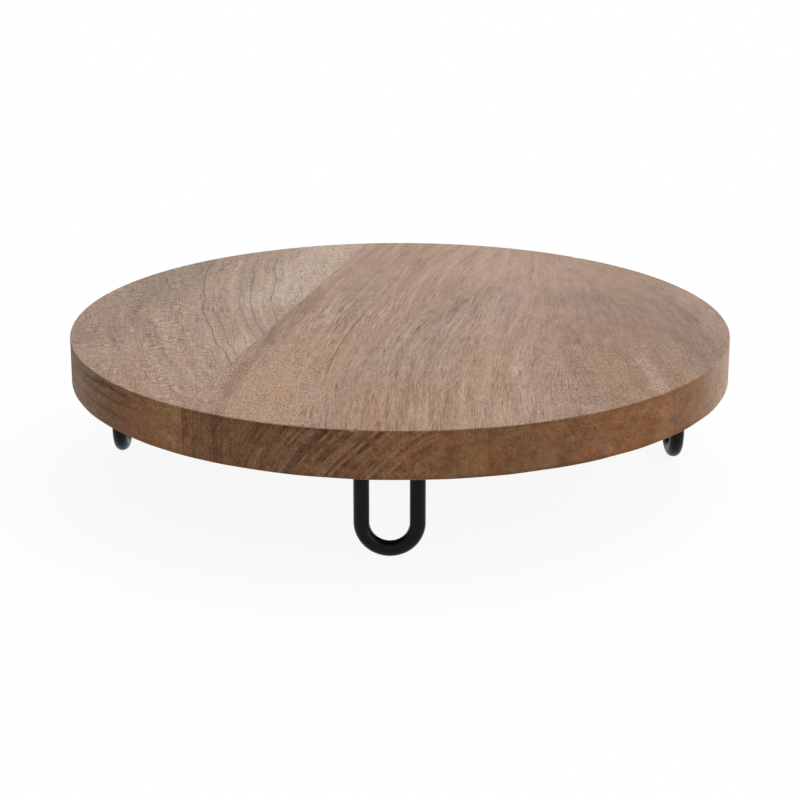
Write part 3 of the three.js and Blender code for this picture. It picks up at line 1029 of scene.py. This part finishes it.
# %% Cut the plates
PLATE_CORNER = 4 * MM
PLATE_EASE = 0.35 * MM
CORNER_STEPS = 8
HOLE_RADIUS = 1.9 * MM
HOLE_SIDES = 32
SCREW_REACH = 21.35 * MM


def loop_of(shape, points):
    """Adds a closed loop of points and edges."""
    corners = [shape.verts.new(point) for point in points]
    edges = [shape.edges.new(pair) for pair in zip(corners, corners[1:] + corners[:1])]
    return corners, edges


def plate_outline(inset, height):
    half_x = PLATE_WIDTH / 2 - PLATE_CORNER
    half_y = PLATE_LENGTH / 2 - PLATE_CORNER
    radius = PLATE_CORNER - inset
    points = []
    for quarter, (side_x, side_y) in enumerate(((1, 1), (-1, 1), (-1, -1), (1, -1))):
        for step in range(CORNER_STEPS + 1):
            angle = math.pi / 2 * (quarter + step / CORNER_STEPS)
            points.append((side_x * half_x + radius * math.cos(angle),
                           side_y * half_y + radius * math.sin(angle), height))
    return points


def circle_at(middle, radius, height, sides):
    angles = [2 * math.pi * side / sides for side in range(sides)]
    return [(radius * math.cos(angle), middle + radius * math.sin(angle), height) for angle in angles]


def cut_plate():
    shape = bmesh.new()
    thickness = PLATE_TOP - PLATE_BOTTOM
    levels = [(PLATE_EASE, 0.0), (0.0, PLATE_EASE), (0.0, thickness - PLATE_EASE), (PLATE_EASE, thickness)]
    outer = [loop_of(shape, plate_outline(inset, height)) for inset, height in levels]
    walls_along(shape, [corners for corners, _ in outer])
    face_edges = {0: list(outer[0][1]), 1: list(outer[-1][1])}
    for middle in (-SCREW_REACH, SCREW_REACH):
        low, low_edges = loop_of(shape, circle_at(middle, HOLE_RADIUS, 0.0, HOLE_SIDES))
        high, high_edges = loop_of(shape, circle_at(middle, HOLE_RADIUS, thickness, HOLE_SIDES))
        wall_between(shape, low, high)
        face_edges[0] += low_edges
        face_edges[1] += high_edges
    for edges in face_edges.values():
        bmesh.ops.triangle_fill(shape, use_beauty=True, edges=edges)
    bmesh.ops.recalc_face_normals(shape, faces=shape.faces[:])
    return shape


add_to_legs("plate", cut_plate, (0, 0, PLATE_BOTTOM), coat, "plate")
print("plates cut", round(PLATE_LENGTH / MM, 1), "by", round(PLATE_WIDTH / MM, 1), "mm")

# %% [markdown]
# ## Screws
# Each plate is held by two pan-head wood screws. The head is a turned shape with a cross pressed into it,
# and the thread is a ridge that climbs round the core and tapers to the point.

# %% Make the screws
HEAD_RADIUS = 3.5 * MM
HEAD_HEIGHT = 2.3 * MM
HEAD_ROUNDING = 1.2 * MM
HEAD_EASE = 0.25 * MM
HEAD_SIDES = 48
HEAD_STEPS = 6
RECESS_REACH = 2.1 * MM
RECESS_HALF_WIDTH = 0.5 * MM
RECESS_DEPTH = 1.3 * MM
RECESS_TAPER = 0.72
SCREW_LENGTH = 16 * MM
SCREW_POINT = 4 * MM
THREAD_RADIUS = 1.75 * MM
CORE_RADIUS = 1.2 * MM
THREAD_PITCH = 1.4 * MM
THREAD_ROWS = 12
THREAD_SIDES = 32


def cross_at(share, height):
    """The twelve corners of the cross recess, drawn in by share."""
    reach, half = RECESS_REACH * share, RECESS_HALF_WIDTH * share
    corners = [(reach, -half), (reach, half), (half, half)]
    points = []
    for quarter in range(4):
        cos, sin = round(math.cos(math.pi / 2 * quarter)), round(math.sin(math.pi / 2 * quarter))
        points += [(x * cos - y * sin, x * sin + y * cos, height) for x, y in corners]
    return points


def thread_radius(height, angle):
    """Core plus ridge, shrinking to a point at the end of the screw."""
    turn = (height / THREAD_PITCH - angle / (2 * math.pi)) % 1.0
    ridge_share = max(0.0, 1 - abs(turn - 0.5) / 0.3)
    radius = CORE_RADIUS + (THREAD_RADIUS - CORE_RADIUS) * ridge_share
    return radius * min(1.0, (SCREW_LENGTH - height) / SCREW_POINT + 0.02)


def make_screw():
    shape = bmesh.new()
    flat = HEAD_RADIUS - HEAD_ROUNDING
    profile = []
    for step in range(HEAD_STEPS + 1):
        angle = math.pi / 2 * step / HEAD_STEPS
        profile.append((flat + HEAD_ROUNDING * math.sin(angle),
                        -HEAD_HEIGHT + HEAD_ROUNDING * (1 - math.cos(angle))))
    profile += [(HEAD_RADIUS, -HEAD_EASE), (HEAD_RADIUS - HEAD_EASE, 0.0)]
    head = [loop_of(shape, circle_at(0.0, radius, height, HEAD_SIDES)) for radius, height in profile]
    walls_along(shape, [corners for corners, _ in head])
    mouth, mouth_edges = loop_of(shape, cross_at(1.0, -HEAD_HEIGHT))
    floor_loop, _ = loop_of(shape, cross_at(RECESS_TAPER, -HEAD_HEIGHT + RECESS_DEPTH))
    wall_between(shape, mouth, floor_loop)
    shape.faces.new(floor_loop)
    bmesh.ops.triangle_fill(shape, use_beauty=True, edges=head[0][1] + mouth_edges)
    rows = int(SCREW_LENGTH / THREAD_PITCH * THREAD_ROWS)
    angles = [2 * math.pi * side / THREAD_SIDES for side in range(THREAD_SIDES)]
    shank = []
    for row in range(rows + 1):
        height = SCREW_LENGTH * row / rows
        points = []
        for angle in angles:
            radius = thread_radius(height, angle)
            points.append((radius * math.cos(angle), radius * math.sin(angle), height))
        shank.append(loop_of(shape, points))
    walls_along(shape, [corners for corners, _ in shank])
    shape.faces.new(shank[-1][0])
    bmesh.ops.triangle_fill(shape, use_beauty=True, edges=head[-1][1] + shank[0][1])
    bmesh.ops.recalc_face_normals(shape, faces=shape.faces[:])
    return shape


add_to_legs("screw_a", make_screw, (0, -SCREW_REACH, PLATE_BOTTOM), steel, "screw_a")
add_to_legs("screw_b", make_screw, (0, SCREW_REACH, PLATE_BOTTOM), steel, "screw_b")
print("screws made", round(SCREW_LENGTH / MM, 1), "mm long")
